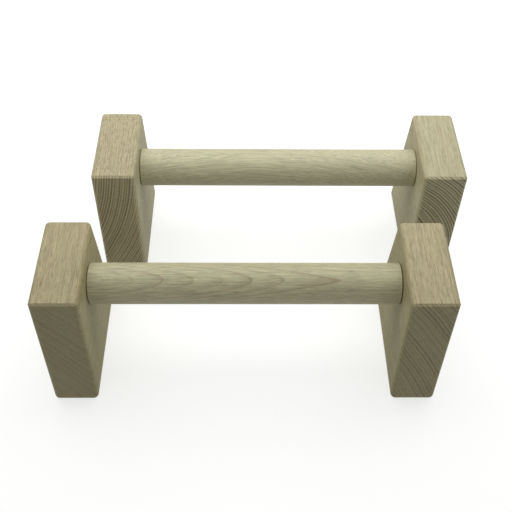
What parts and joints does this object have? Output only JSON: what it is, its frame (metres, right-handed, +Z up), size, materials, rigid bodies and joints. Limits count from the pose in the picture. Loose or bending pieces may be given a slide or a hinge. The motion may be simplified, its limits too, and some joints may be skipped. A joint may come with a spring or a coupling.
{
  "type": "pair of parallettes",
  "caption": "Pair of low wooden parallel bars for push-ups and hand balancing, each a round grip set between two tapered end blocks.",
  "frame": {"origin": "on the floor, at the middle of the box around both stands as they stand in the rest pose", "axes": "+X along the grip bars to the right, +Y from the front stand to the rear stand, +Z up"},
  "size_m": [0.369, 0.2536, 0.125],
  "materials": {
    "beech_block": "sanded, untreated",
    "beech_grip": "sanded, untreated",
    "screw_steel": "zinc plated"
  },
  "bodies": {
    "front_stand": {"front_left_block": "beech_block", "front_right_block": "beech_block", "front_grip_bar": "beech_grip", "front_left_screw": "screw_steel", "front_right_screw": "screw_steel"},
    "rear_stand": {"rear_left_block": "beech_block", "rear_right_block": "beech_block", "rear_grip_bar": "beech_grip", "rear_left_screw": "screw_steel", "rear_right_screw": "screw_steel"}
  },
  "joints": [
    {"name": "stand_spacing", "type": "slide", "parent": "front_stand", "child": "rear_stand", "axis": [0, 1, 0], "range_m": [-0.02, 0.36]}
  ]
}
